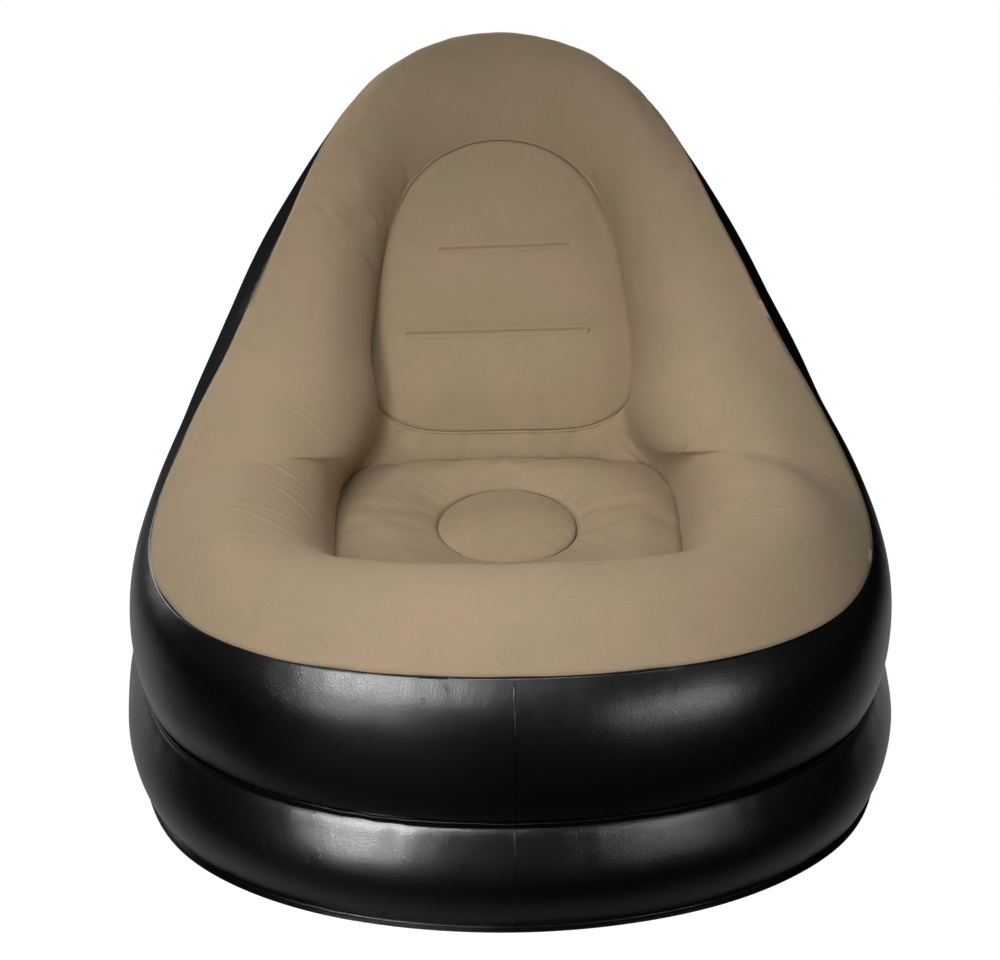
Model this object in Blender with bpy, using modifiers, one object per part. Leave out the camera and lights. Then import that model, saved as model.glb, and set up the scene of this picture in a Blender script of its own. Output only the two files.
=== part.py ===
"""Inflatable lounge chair: two stacked air rings, a raised back and a flocked cover.

Every sheet of vinyl, tie strip and valve piece is its own thin solid.
Metres, +Z up, +Y towards the back of the chair, origin on the floor under the middle.
"""
from math import atan2, cos, pi, radians, sin

import bmesh
import bpy
import numpy as np
from mathutils import Matrix

# Overall sizes: the seams keep inside them, and the rings swell a little past the width and depth
WIDTH = 0.98
DEPTH = 1.12
RING_HEIGHT = 0.150
SEAT_HEIGHT = 0.268
BACK_STEP = 0.048
BOLSTER_RISE = 0.088
BACK_LENGTH = 0.378
BACK_TILT = radians(65)
CROWN_RISE = 0.141

# Sheets, seams and clearances
VINYL = 0.0005
FLOCK = 0.0008
GAP = 0.0003
LIP = 0.008
CREASE_INSET = 0.018
FIN = 0.007
TAPE_WIDTH = 0.018

# How far the air rings swell beyond their seams
LOWER_SWELL = 0.027
FRONT_SWELL = 0.025
SIDE_SWELL = 0.015
REAR_SWELL = 0.060

# Seat panel and its round weld
SEAT_WIDTH = 0.446
SEAT_DEPTH = 0.345
SEAT_Y = -0.093
SEAT_CROWN = 0.034
DISC_RADIUS = 0.090
DISC_Y = -0.074
DISC_SINK = 0.010
DISC_CROWN = 0.018

# Back panel and its two weld lines
BACK_WIDTH = 0.368
BACK_FOOT_Y = 0.087
BACK_CROWN = 0.017
WELD_SINK = 0.006

# Tie strips inside the chambers
STRIP = 0.0005
STRIP_FLANGE = 0.015
BEAM_STEP = 0.150
BEAM_CLEAR = 0.090
STRAP_CLEAR = 0.0006

# Inflation valves
THROAT_RADIUS = 0.0130
THROAT_WALL = 0.0022
THROAT_DEPTH = 0.0135
RIM_WIDTH = 0.0045
RIM_THICK = 0.0018
FLANGE_WIDTH = 0.0065
FLANGE_THICK = 0.0009
INSERT_RIM = 0.0028
INSERT_THICK = 0.0016
BORE_RADIUS = 0.0090
PORT_RADIUS = 0.0065
WEB_THICK = 0.0012
CAP_THICK = 0.0016
PLUG_LENGTH = 0.0040
PLUG_CLEAR = 0.0012
LUG_LENGTH = 0.0050
LUG_WIDTH = 0.0080
TAB_LENGTH = 0.0055
FLAP_THICK = 0.0006
FLAP_LAP = 0.0025
LUG_INSET_SHARE = 0.2
MERGE = 0.00001
SHARP_ANGLE = radians(30)

# Counts
HALF_STATIONS = 16
SEAT_CORNER = 5
BACK_CORNER = 7
COLUMNS = 6
TURN_STEPS = 28
BEAMS = 4

# Sizes that follow
BACK_FOOT_Z = SEAT_HEIGHT + BACK_STEP
HEIGHT = BACK_FOOT_Z + BACK_LENGTH * sin(BACK_TILT) + CROWN_RISE
STATIONS = 2 * HALF_STATIONS
UP = np.array((0, 0, 1))
BACK_NORMAL = np.array((0, -sin(BACK_TILT), cos(BACK_TILT)))
COLLAR_RADIUS = THROAT_RADIUS + THROAT_WALL
RIM_TOP = GAP + RIM_THICK
INSERT_SEAT = RIM_TOP + GAP
INSERT_TOP = INSERT_SEAT + INSERT_THICK
CAP_RADIUS = THROAT_RADIUS + INSERT_RIM
CAP_LOW = GAP / 2
CAP_HIGH = CAP_LOW + CAP_THICK
HINGE_REACH = CAP_RADIUS + LUG_LENGTH
FLAP_RADIUS = PORT_RADIUS + FLAP_LAP

# Half outline of the floor sheet: share of half the width, share of the depth
BASE_SHARES = (
    (0, -0.4935), (0.286, -0.4815), (0.575, -0.4405), (0.826, -0.357), (0.942, -0.246), (0.974, -0.140),
    (0.980, -0.045), (0.968, 0.035), (0.940, 0.107), (0.899, 0.178), (0.850, 0.246), (0.787, 0.309),
    (0.708, 0.366), (0.606, 0.416), (0.457, 0.4575), (0.243, 0.4815), (0, 0.4875))
# Half line of the cover's outer seam: share of half the width, of the depth and of the height
COVER_SHARES = (
    (0, -0.449, 0.415), (0.295, -0.441, 0.416), (0.565, -0.411, 0.417), (0.780, -0.344, 0.420),
    (0.880, -0.248, 0.432), (0.870, -0.167, 0.476), (0.797, -0.096, 0.552), (0.707, -0.028, 0.628),
    (0.632, 0.033, 0.701), (0.570, 0.081, 0.760), (0.527, 0.117, 0.802), (0.488, 0.150, 0.838),
    (0.440, 0.184, 0.874), (0.372, 0.218, 0.909), (0.280, 0.246, 0.936), (0.155, 0.267, 0.951),
    (0, 0.276, 0.956))
# How far the bolster's ridge stands off the line from its outer seam to its inner edge, front to rear,
# and how far the ridge lies towards the outer seam: shares of the bolster's rise
RISE_SHARES = (1, 1, 1, 1.08, 1.25, 1.38, 1.25, 0.95, 0.72, 0.56, 0.48, 0.44, 0.42, 0.42, 0.44, 0.46, 0.46)
LEAN_SHARES = (0, 0, 0, 0, 0.1, 0.3, 0.35, 0.2, 0.1, 0.08, 0.12, 0.2, 0.28, 0.40, 0.53, 0.60, 0.62)
# Half outline of the seat panel, front to rear: share of half its width and of its depth
SEAT_SHARES = ((0, -0.5), (0.34, -0.5), (0.70, -0.49), (0.98, -0.42), (0.99, -0.03), (1.02, 0.40))
# Half outline of the back panel, foot to top: share of half its width and of its length
BACK_SHARES = (
    (0.90, 0.050), (0.985, 0.155), (0.95, 0.335), (0.898, 0.475), (0.842, 0.614), (0.765, 0.745),
    (0.640, 0.860), (0.455, 0.942), (0.240, 0.990), (0, 1.006))
# How far each weld line of the back panel spans the panel's width, by its place in the outline
WELD_SHARES = {2: 0.69, 4: 0.49}
SPREAD_SHARE = 0.27
REAR_EDGE_SHARE = 0.475
FOOT_SAG_SHARE = 0.012
AIR_HOLES = (1, 3, 6, 9, 12, 14)

VINYL_FINISH = ((0.006, 0.006, 0.005, 1), 0.32, 0)
FLOCK_FINISH = ((0.300, 0.232, 0.155, 1), 0.92, 0)
STRIP_FINISH = ((0.030, 0.030, 0.030, 1), 0.55, 0)
VALVE_FINISH = ((0.012, 0.012, 0.012, 1), 0.42, 0)
FLAP_FINISH = ((0.420, 0.420, 0.400, 1), 0.50, 0)


def clear_scene():
    for thing in list(bpy.data.objects):
        bpy.data.objects.remove(thing)
    model = bpy.data.collections.new("inflatable_lounge_chair")
    cutters = bpy.data.collections.new("cutters")
    bpy.context.scene.collection.children.link(model)
    bpy.context.scene.collection.children.link(cutters)
    return model, cutters


def finish(thing, settings):
    colour, roughness, metallic = settings
    material = bpy.data.materials.new(thing.name + "_finish")
    material.use_nodes = True
    shader = material.node_tree.nodes["Principled BSDF"]
    shader.inputs["Base Color"].default_value = colour
    shader.inputs["Roughness"].default_value = roughness
    shader.inputs["Metallic"].default_value = metallic
    material.diffuse_color = colour
    thing.data.materials.append(material)


# Outlines and cages

def through(points):
    """Cage points of a closed line whose rounded line passes through the drawn points."""
    own = np.eye(len(points))
    blend = (4 * own + np.roll(own, 1, 0) + np.roll(own, -1, 0)) / 6
    return np.linalg.solve(blend, points)


def rounded(points):
    """Where a closed line of cage points lies once it is rounded."""
    return (np.roll(points, 1, 0) + 4 * points + np.roll(points, -1, 0)) / 6


def halfway(points):
    """The rounded line between each cage point and the next."""
    after = np.roll(points, -1, 0)
    return (np.roll(points, 1, 0) + 23 * points + 23 * after + np.roll(points, -2, 0)) / 48


def sample(points):
    """Points on an open rounded line: at each cage point and halfway to the next."""
    points = np.array(points)
    ends = np.vstack((2 * points[:1] - points[1:2], points, 2 * points[-1:] - points[-2:-1]))
    made = np.empty((2 * len(points) - 1, 3))
    made[0::2] = (ends[:-2] + 4 * ends[1:-1] + ends[2:]) / 6
    made[1::2] = (ends[:-3] + 23 * ends[1:-2] + 23 * ends[2:-1] + ends[3:]) / 48
    return made


def ring(half):
    """A closed ring of points from the half on the +X side, front to rear."""
    half = np.array(half)
    other = half[-2:0:-1] * (-1, 1, 1)
    return np.vstack((half, other))


def outward(points):
    """Level unit vectors square to a ring, pointing away from the middle."""
    along = np.roll(points, -1, 0) - np.roll(points, 1, 0)
    side = np.cross(along, UP)
    return side / np.linalg.norm(side, axis=1, keepdims=True)


def unit(vectors):
    return vectors / np.linalg.norm(vectors, axis=-1, keepdims=True)


def round_share(shares):
    """A table of shares for one side, carried round the ring as a column."""
    half = np.array(shares)
    return np.concatenate((half, half[-2:0:-1]))[:, None]


def swell_rows(low, high, belly):
    """Two cage rows between two seams, so that the sheet passes through the belly halfway."""
    middle = (48 * belly - low - high) / 46
    spread = SPREAD_SHARE * (high - low)
    return middle - spread, middle + spread


def add_grid(bm, rows, wrap):
    """Quads between rows of points or vertices; returns the rows of vertices."""
    made = [[p if isinstance(p, bmesh.types.BMVert) else bm.verts.new(p) for p in row] for row in rows]
    for low, high in zip(made, made[1:]):
        last = len(low) if wrap else len(low) - 1
        for i in range(last):
            j = (i + 1) % len(low)
            bm.faces.new((low[i], low[j], high[j], high[i]))
    return made


def crease(bm, verts, wrap):
    """Keeps the fold along a line of vertices sharp."""
    layer = bm.edges.layers.float.get("crease_edge") or bm.edges.layers.float.new("crease_edge")
    pairs = list(zip(verts, verts[1:])) + ([(verts[-1], verts[0])] if wrap else [])
    for pair in pairs:
        edge = bm.edges.get(pair)
        edge[layer] = 1
        edge.smooth = False


def sheet(model, name, bm, thickness, settings, levels=1, offset=-1):
    """A rounded sheet of one thickness from a cage; offset -1 keeps the drawn side outermost."""
    mesh = bpy.data.meshes.new(name)
    bm.to_mesh(mesh)
    bm.free()
    mesh.shade_smooth()
    thing = bpy.data.objects.new(name, mesh)
    model.objects.link(thing)
    if levels:
        rounding = thing.modifiers.new("Rounding", "SUBSURF")
        rounding.levels = levels
        rounding.render_levels = levels
    body = thing.modifiers.new("Thickness", "SOLIDIFY")
    body.thickness = thickness
    body.offset = offset
    finish(thing, settings)
    return thing


def cut(thing, cutter):
    hole = thing.modifiers.new("Cut", "BOOLEAN")
    hole.operation = "DIFFERENCE"
    hole.object = cutter
    hole.solver = "EXACT"


def as_cutter(thing, cutters):
    for collection in list(thing.users_collection):
        collection.objects.unlink(thing)
    cutters.objects.link(thing)
    thing.hide_render = True
    thing.display_type = "WIRE"


# The chair's own lines

def base_line():
    half = [(x * WIDTH / 2, y * DEPTH, 0) for x, y in BASE_SHARES]
    return through(ring(half))


def crease_line():
    base = base_line()
    return base - CREASE_INSET * outward(base) + RING_HEIGHT * UP


def share_line(shares):
    half = [(x * WIDTH / 2, y * DEPTH, z * HEIGHT) for x, y, z in shares]
    return through(ring(half))


def seat_loop():
    """Cage points round the seat panel: front middle, +X side, rear edge, -X side."""
    side = [(x * SEAT_WIDTH / 2, SEAT_Y + y * SEAT_DEPTH, SEAT_HEIGHT) for x, y in SEAT_SHARES]
    reach = side[-1][0]
    rear_y = SEAT_Y + REAR_EDGE_SHARE * SEAT_DEPTH
    rear = [(reach * (1 - 2 * i / COLUMNS), rear_y, SEAT_HEIGHT) for i in range(1, COLUMNS)]
    other = [(-x, y, z) for x, y, z in side[:0:-1]]
    return np.array(side + rear + other)


def on_back(across, along, lift=0):
    """A point on the back panel's plane: across it, up along it and out from it."""
    run = along * cos(BACK_TILT) - lift * sin(BACK_TILT)
    rise = along * sin(BACK_TILT) + lift * cos(BACK_TILT)
    return across, BACK_FOOT_Y + run, BACK_FOOT_Z + rise


def back_loop():
    """Cage points round the back panel: foot edge from -X to +X, +X side, top, -X side."""
    side = [on_back(x * BACK_WIDTH / 2, y * BACK_LENGTH) for x, y in BACK_SHARES]
    reach = side[0][0]
    sag = -FOOT_SAG_SHARE * BACK_LENGTH
    foot = [on_back(reach * (2 * i / COLUMNS - 1), sag) for i in range(1, COLUMNS)]
    other = [(-x, y, z) for x, y, z in side[-2::-1]]
    return np.array(foot + side + other)


def inward(loop, normal):
    """Unit vectors in the loop's plane, pointing into it."""
    along = np.roll(loop, -1, 0) - np.roll(loop, 1, 0)
    return unit(np.cross(normal, along))


def lower_rows():
    """Cage rows of the lower band, floor lip to crease lip."""
    base, top = base_line(), crease_line()
    out = outward(base)
    foot = base + (VINYL + GAP + VINYL) * UP
    top = top - (VINYL / 2 + GAP + VINYL) * UP
    foot_root = foot - LIP * out
    belly = (foot_root + top) / 2 + LOWER_SWELL * out
    middle = (6 * belly - foot_root - top) / 4
    return [foot, foot_root, middle, top, top + LIP * out]


def upper_rows():
    """Cage rows of the upper band, crease lip to the fin under the cover's seam."""
    root = crease_line() + (VINYL / 2 + GAP + VINYL) * UP
    out = outward(root)
    seam = share_line(COVER_SHARES)
    turn = np.arange(STATIONS) * 2 * pi / STATIONS
    front = np.maximum(np.cos(turn), 0) ** 3
    rear = (1 - np.cos(turn)) / 2
    swell = SIDE_SWELL + (FRONT_SWELL - SIDE_SWELL) * front + (REAR_SWELL - SIDE_SWELL) * rear
    belly = (root + seam) / 2 + swell[:, None] * out
    first, second = swell_rows(root, seam, belly)
    return [root + LIP * out, root, first, second, seam]


def cover_rows():
    """Cage rows of the bolster from its outer seam to the inner edge, without the fin."""
    seam = share_line(COVER_SHARES)
    edge = inner_edge()
    middle = (rounded(seam) + edge) / 2
    lean = unit(rounded(seam) - edge)
    rise = unit(np.cross(lean, np.roll(middle, -1, 0) - np.roll(middle, 1, 0)))
    ridge = middle + BOLSTER_RISE * (round_share(RISE_SHARES) * rise + round_share(LEAN_SHARES) * lean)
    first, second = swell_rows(seam, edge, through(ridge))
    return [seam, first, second, edge]


def around_seat():
    """The seat panel's outline, widened to clear the panel and the strip in its seam."""
    return seat_loop() - (STRIP / 2 + GAP) * inward(seat_loop(), UP)


def around_back():
    return back_loop() - GAP * inward(back_loop(), BACK_NORMAL)


def inner_edge():
    """The bolster's inner edge: round the seat panel, up beside the step and round the back panel."""
    back = around_back()
    right = list(around_seat()[:SEAT_CORNER + 1])
    back_right = list(back[COLUMNS - 1:COLUMNS - 1 + len(BACK_SHARES)])
    step = (right[-1] + back_right[0]) / 2
    return ring(right + [step] + back_right)


def seam_frame(seam, before, after):
    """Through and outward directions at a seam, from the rows on both sides of it."""
    along = unit(np.roll(seam, -1, 0) - np.roll(seam, 1, 0))
    across = unit(after - seam) - unit(before - seam)
    across -= along * np.sum(along * across, axis=1, keepdims=True)
    across = unit(across)
    return across, np.cross(along, across)


# Bands and flat sheets

def flat_sheet(model, name, outline, bottom):
    """A flat sheet with a rounded outline."""
    curve = bpy.data.curves.new(name, "CURVE")
    curve.dimensions = "2D"
    curve.fill_mode = "BOTH"
    curve.extrude = VINYL / 2
    spline = curve.splines.new("POLY")
    points = np.empty((2 * len(outline), 3))
    points[0::2] = rounded(outline)
    points[1::2] = halfway(outline)
    spline.points.add(len(points) - 1)
    for point, place in zip(spline.points, points):
        point.co = (place[0], place[1], 0, 1)
    spline.use_cyclic_u = True
    thing = bpy.data.objects.new(name, curve)
    thing.location.z = bottom + VINYL / 2
    model.objects.link(thing)
    finish(thing, VINYL_FINISH)
    return thing


def band(model, name, rows, folds):
    bm = bmesh.new()
    made = add_grid(bm, rows, wrap=True)
    for fold in folds:
        crease(bm, made[fold], wrap=True)
    return sheet(model, name, bm, VINYL, VINYL_FINISH)


def profile(rows, station):
    """The upright section of a band at one station, with its outward directions."""
    line = sample([rounded(row)[station] for row in rows])
    side = 1 if station else -1
    out = np.cross(unit(np.gradient(line, axis=0)), (side, 0, 0))
    return line, out


def seam_tape(model, name, rows, short=0):
    """A strip that backs the upright seam at the front of a band, a few points short of its top."""
    line, out = profile(rows, 0)
    beside = sample([halfway(row)[0] for row in rows])
    side = (beside - line) * (TAPE_WIDTH / 2 / beside[:, :1])
    columns = np.stack((line + side * (-1, 1, 1), line, line + side), axis=1)
    columns -= (VINYL + GAP) * out[:, None]
    bm = bmesh.new()
    add_grid(bm, columns[:len(line) - short], wrap=False)
    return sheet(model, name, bm, STRIP, STRIP_FINISH, levels=0)


def front_slit(cutters, rows):
    """A cutter as wide as one gap, for the upright seam at the front of the bands."""
    front = min(row[0][1] for row in rows)
    rear = max(row[0][1] for row in rows)
    bpy.ops.mesh.primitive_cube_add(size=1, location=(0, (front + rear) / 2, HEIGHT / 2))
    slit = bpy.context.object
    slit.name = "front_slit"
    slit.scale = (GAP, rear - front + 2 * FRONT_SWELL, HEIGHT + 2 * LIP)
    bpy.ops.object.transform_apply(location=False, rotation=False, scale=True)
    as_cutter(slit, cutters)
    return slit


# Cover

def bolster_cover(model):
    """The flocked bolster: front, arms and back rim, with the step between seat and back."""
    seam, first, second, edge = cover_rows()
    across, out = seam_frame(seam, upper_rows()[3], first)
    root = seam + (GAP / 2) * across
    tip = root - FIN * out
    bm = bmesh.new()
    made = add_grid(bm, [tip, root, first, second, edge], wrap=True)
    crease(bm, made[1], wrap=True)
    inner = made[-1]
    rear = list(around_seat()[SEAT_CORNER + 1:SEAT_CORNER + COLUMNS][::-1])
    foot = list(around_back()[:COLUMNS - 1])
    step = [(a + b) / 2 for a, b in zip(rear, foot)]
    rows = []
    for station, between in zip(range(SEAT_CORNER, BACK_CORNER + 1), (rear, step, foot)):
        rows.append([inner[-station]] + between + [inner[station]])
    add_grid(bm, rows, wrap=False)
    return sheet(model, "bolster_cover", bm, FLOCK, FLOCK_FINISH)


def disc_loop(radius, height):
    """Cage points of a circle round the middle of the seat, one for each point of the seat's outline."""
    count = len(seat_loop())
    turn = np.arange(count) * 2 * pi / count - pi / 2
    circle = np.stack((radius * np.cos(turn), DISC_Y + radius * np.sin(turn), 0 * turn + height), axis=1)
    return through(circle)


def core_rows(loop, middle):
    """The rows of a patch that fills a loop laid out like the seat's outline."""
    front = list(loop[-(COLUMNS // 2):]) + list(loop[:COLUMNS // 2 + 1])
    rear = list(loop[SEAT_CORNER:SEAT_CORNER + COLUMNS + 1])[::-1]
    between = [loop[-(COLUMNS // 2 + 1)]] + middle + [loop[COLUMNS // 2 + 1]]
    return [front, between, rear]


def seat_panel(model):
    """The flocked seat panel, puffed up between its outline and the round weld."""
    loop = seat_loop()
    root = loop + (STRIP / 2 + GAP) * inward(loop, UP)
    tip = root - FIN * UP
    disc = disc_loop(DISC_RADIUS, SEAT_HEIGHT - DISC_SINK)
    puff = (root + disc) / 2 + SEAT_CROWN * UP
    bm = bmesh.new()
    made = add_grid(bm, [tip, root, puff, disc], wrap=True)
    crease(bm, made[1], wrap=True)
    crease(bm, made[3], wrap=True)
    crown = SEAT_HEIGHT - DISC_SINK + DISC_CROWN
    reach = DISC_RADIUS * (1 - 1 / COLUMNS)
    middle = [(reach * (2 * i / COLUMNS - 1), DISC_Y, crown) for i in range(1, COLUMNS)]
    add_grid(bm, core_rows(made[3], middle), wrap=False)
    return sheet(model, "seat_panel", bm, FLOCK, FLOCK_FINISH)


def back_panel(model):
    """The flocked back panel, drawn in along two short weld lines."""
    loop = back_loop()
    root = loop + GAP * inward(loop, BACK_NORMAL)
    tip = root - FIN * BACK_NORMAL
    bm = bmesh.new()
    made = add_grid(bm, [tip, root], wrap=True)
    crease(bm, made[1], wrap=True)
    edge = made[1]
    sides = len(BACK_SHARES) - 1 - COLUMNS // 2
    right = edge[COLUMNS - 1:COLUMNS + sides]
    top = edge[COLUMNS - 1 + sides:2 * COLUMNS + sides][::-1]
    left = [edge[(-1 - i) % len(edge)] for i in range(sides + 1)]
    foot = [left[0]] + edge[:COLUMNS - 1] + [right[0]]
    rows = [foot]
    for j in range(1, sides):
        rows.append([left[j]] + back_row(left[j].co, right[j].co, j) + [right[j]])
    rows.append(top)
    made = add_grid(bm, rows, wrap=False)
    for j in WELD_SHARES:
        crease(bm, made[j][1:-1], wrap=False)
    return sheet(model, "back_panel", bm, FLOCK, FLOCK_FINISH)


def back_row(left, right, row):
    """Cage points across the back panel: out on the puffs, in at the weld lines."""
    left, right = np.array(left), np.array(right)
    span = WELD_SHARES.get(row, 1 - 2 / COLUMNS)
    lift = -WELD_SINK if row in WELD_SHARES else BACK_CROWN
    points = []
    for i in range(1, COLUMNS):
        across = span * (2 * i - COLUMNS) / (COLUMNS - 2)
        points.append((left + right) / 2 + across * (right - left) / 2 + lift * BACK_NORMAL)
    return points


# Tie strips inside the chambers

def tie_band(model, name, loop, top, holes=()):
    """A strip on edge from a weld line above down to the middle sheet, with its foot turned in."""
    foot = RING_HEIGHT + VINYL / 2 + GAP + STRIP / 2
    levels = [top, top - (top - foot) / 3, foot + (top - foot) / 3, foot] if holes else [top, foot]
    rows = [np.column_stack((loop[:, :2], np.full(len(loop), z))) for z in levels]
    rows.append(rows[-1] + STRIP_FLANGE * inward(loop, UP))
    bm = bmesh.new()
    made = add_grid(bm, rows, wrap=True)
    crease(bm, made[-2], wrap=True)
    for i in holes:
        corners = {made[1][i], made[1][(i + 1) % len(loop)], made[2][i], made[2][(i + 1) % len(loop)]}
        face = next(face for face in bm.faces if set(face.verts) == corners)
        bm.faces.remove(face)
    return sheet(model, name, bm, STRIP, STRIP_FINISH, offset=0)


def back_strap(model, name, row, rear, out):
    """A strip from one weld line of the back panel to the rear wall of the upper band."""
    across, along = BACK_SHARES[row]
    half = WELD_SHARES[row] * across * BACK_WIDTH / 2
    _, y, z = on_back(0, along * BACK_LENGTH, -WELD_SINK - FLOCK - GAP)
    rear = rear - (VINYL + STRAP_CLEAR) * out
    front = [(half * x, y, z) for x in np.linspace(-1, 1, len(rear))]
    bm = bmesh.new()
    add_grid(bm, [front, rear], wrap=False)
    return sheet(model, name, bm, STRIP, STRIP_FINISH, levels=0, offset=0)


def rear_line(rows, index):
    """A level line along the rear of a band, from -X to +X, with its outward directions."""
    stations = range(HALF_STATIONS + 1, HALF_STATIONS - 2, -1)
    lines = [profile(rows, station) for station in stations]
    line = sample([place[index] for place, _ in lines])
    out = sample([side[index] for _, side in lines])
    return line, unit(out)


def chord(outline, across):
    """Where a line along the chair at one distance across meets an outline: front and rear."""
    line = rounded(outline)
    after = np.roll(line, -1, 0)
    hits = []
    for a, b in zip(line, after):
        if (a[0] - across) * (b[0] - across) < 0:
            hits.append(a[1] + (b[1] - a[1]) * (across - a[0]) / (b[0] - a[0]))
    return min(hits), max(hits)


def base_beam(model, name, across):
    """A strip on edge between the floor sheet and the middle sheet, with both margins folded over."""
    front, rear = chord(crease_line(), across)
    low = VINYL + GAP + STRIP / 2
    high = RING_HEIGHT - VINYL / 2 - GAP - STRIP / 2
    folded = across + STRIP_FLANGE * np.sign(across)
    section = [(folded, low), (across, low), (across, high), (folded, high)]
    ends = [[(x, y, z) for x, z in section] for y in (front + BEAM_CLEAR, rear - BEAM_CLEAR)]
    bm = bmesh.new()
    add_grid(bm, ends, wrap=False)
    return sheet(model, name, bm, STRIP, STRIP_FINISH, levels=0, offset=0)


# Inflation valves

def turned(model, name, outline, settings, closed=True):
    """A turned piece round its own Z axis, smooth between its sharp corners."""
    half = bpy.data.meshes.new(name + "_outline")
    edges = [(i, i + 1) for i in range(len(outline) - 1)]
    if closed:
        edges.append((len(outline) - 1, 0))
    half.from_pydata([(r, 0, z) for r, z in outline], edges, [])
    thing = bpy.data.objects.new(name, half)
    model.objects.link(thing)
    turning = thing.modifiers.new("Turning", "SCREW")
    turning.steps = TURN_STEPS
    turning.render_steps = TURN_STEPS
    turning.use_merge_vertices = True
    turning.merge_threshold = MERGE
    depsgraph = bpy.context.evaluated_depsgraph_get()
    solid = bpy.data.meshes.new_from_object(thing.evaluated_get(depsgraph))
    thing.modifiers.clear()
    thing.data = solid
    bpy.data.meshes.remove(half)
    solid.name = name
    solid.shade_smooth()
    solid.set_sharp_from_angle(angle=SHARP_ANGLE)
    finish(thing, settings)
    return thing


def box(collection, name, low, high):
    """A box between two corners, with its origin at the world's origin."""
    bpy.ops.mesh.primitive_cube_add(size=1)
    thing = bpy.context.object
    thing.name = name
    size = np.array(high) - np.array(low)
    middle = (np.array(high) + np.array(low)) / 2
    thing.data.transform(Matrix.Translation(middle) @ Matrix.Diagonal((*size, 1)))
    as_cutter(thing, collection)
    return thing


def join(thing, other):
    union = thing.modifiers.new("Join", "BOOLEAN")
    union.operation = "UNION"
    union.object = other
    union.solver = "EXACT"


def carried(thing, parent, place=(0, 0, 0)):
    thing.parent = parent
    thing.location = place


def axis(model, name, place, parent=None):
    """An empty whose X axis is a hinge line, or whose Z axis is the line a piece slides along."""
    mark = bpy.data.objects.new(name, None)
    model.objects.link(mark)
    carried(mark, parent, place)
    return mark


def steepness(rows, index):
    """How steeply a band falls away on all sides of a point of its rear section."""
    line, out = profile(rows, HALF_STATIONS)
    beside = sample([halfway(row)[HALF_STATIONS] for row in rows])
    slopes = []
    for near in (line[index - 1], line[index + 1], beside[index]):
        step = line[index] - near
        fall = step @ out[index]
        slopes.append(fall / np.sqrt(step @ step - fall ** 2))
    return np.hypot(max(slopes[:2]), slopes[2])


def collar(model, name, seat, steep):
    """The welded ring of a valve: a rim outside the sheet, and a throat and flange inside it."""
    flange = COLLAR_RADIUS + FLANGE_WIDTH
    rim = COLLAR_RADIUS + RIM_WIDTH
    drop = 2 * VINYL + GAP + flange * steep
    ring_piece = turned(model, name, [
        (rim, RIM_TOP), (rim, GAP), (COLLAR_RADIUS, GAP), (COLLAR_RADIUS, -drop), (flange, -drop),
        (flange, -drop - FLANGE_THICK), (COLLAR_RADIUS, -drop - FLANGE_THICK),
        (COLLAR_RADIUS, -THROAT_DEPTH), (THROAT_RADIUS, -THROAT_DEPTH), (THROAT_RADIUS, RIM_TOP)],
        VALVE_FINISH)
    carried(ring_piece, seat)


def insert(model, cutters, name, seat):
    """The push-in body of a valve, with the port that its flap closes and a lug for the cap."""
    body = THROAT_RADIUS - GAP
    web = WEB_THICK - THROAT_DEPTH
    piece = turned(model, name, [
        (CAP_RADIUS, INSERT_TOP), (CAP_RADIUS, INSERT_SEAT), (body, INSERT_SEAT), (body, -THROAT_DEPTH),
        (PORT_RADIUS, -THROAT_DEPTH), (PORT_RADIUS, web), (BORE_RADIUS, web), (BORE_RADIUS, INSERT_TOP)],
        VALVE_FINISH)
    carried(piece, seat)
    inset = LUG_INSET_SHARE * INSERT_THICK
    lug = box(cutters, name + "_lug",
              (-LUG_WIDTH / 2, (BORE_RADIUS + CAP_RADIUS) / 2, INSERT_SEAT + inset),
              (LUG_WIDTH / 2, HINGE_REACH, INSERT_TOP - inset))
    carried(lug, seat)
    join(piece, lug)


def cap(model, cutters, name, seat):
    """The plug cap of a valve, with its hinge strap on one side and a pull tab on the other."""
    plug = BORE_RADIUS - PLUG_CLEAR
    hinge = axis(model, name + "_hinge", (0, HINGE_REACH, INSERT_TOP + GAP / 2), seat)
    piece = turned(model, name, [
        (0, CAP_HIGH), (CAP_RADIUS, CAP_HIGH), (CAP_RADIUS, CAP_LOW), (plug, CAP_LOW),
        (plug, CAP_LOW - PLUG_LENGTH), (0, CAP_LOW - PLUG_LENGTH)], VALVE_FINISH, closed=False)
    carried(piece, hinge, (0, -HINGE_REACH, 0))
    inset = LUG_INSET_SHARE * CAP_THICK
    strap = box(cutters, name + "_strap",
                (-LUG_WIDTH / 2, -CAP_RADIUS - TAB_LENGTH, CAP_LOW + inset),
                (LUG_WIDTH / 2, HINGE_REACH, CAP_HIGH - inset))
    carried(strap, hinge, (0, -HINGE_REACH, 0))
    join(piece, strap)


def flap(model, name, seat):
    """The soft disc that closes a valve's port from inside, hung from its lower edge."""
    hinge = axis(model, name + "_hinge", (0, FLAP_RADIUS, -THROAT_DEPTH - GAP), seat)
    piece = turned(model, name, [
        (0, 0), (FLAP_RADIUS, 0), (FLAP_RADIUS, -FLAP_THICK), (0, -FLAP_THICK)], FLAP_FINISH, closed=False)
    carried(piece, hinge, (0, -FLAP_RADIUS, 0))


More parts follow.
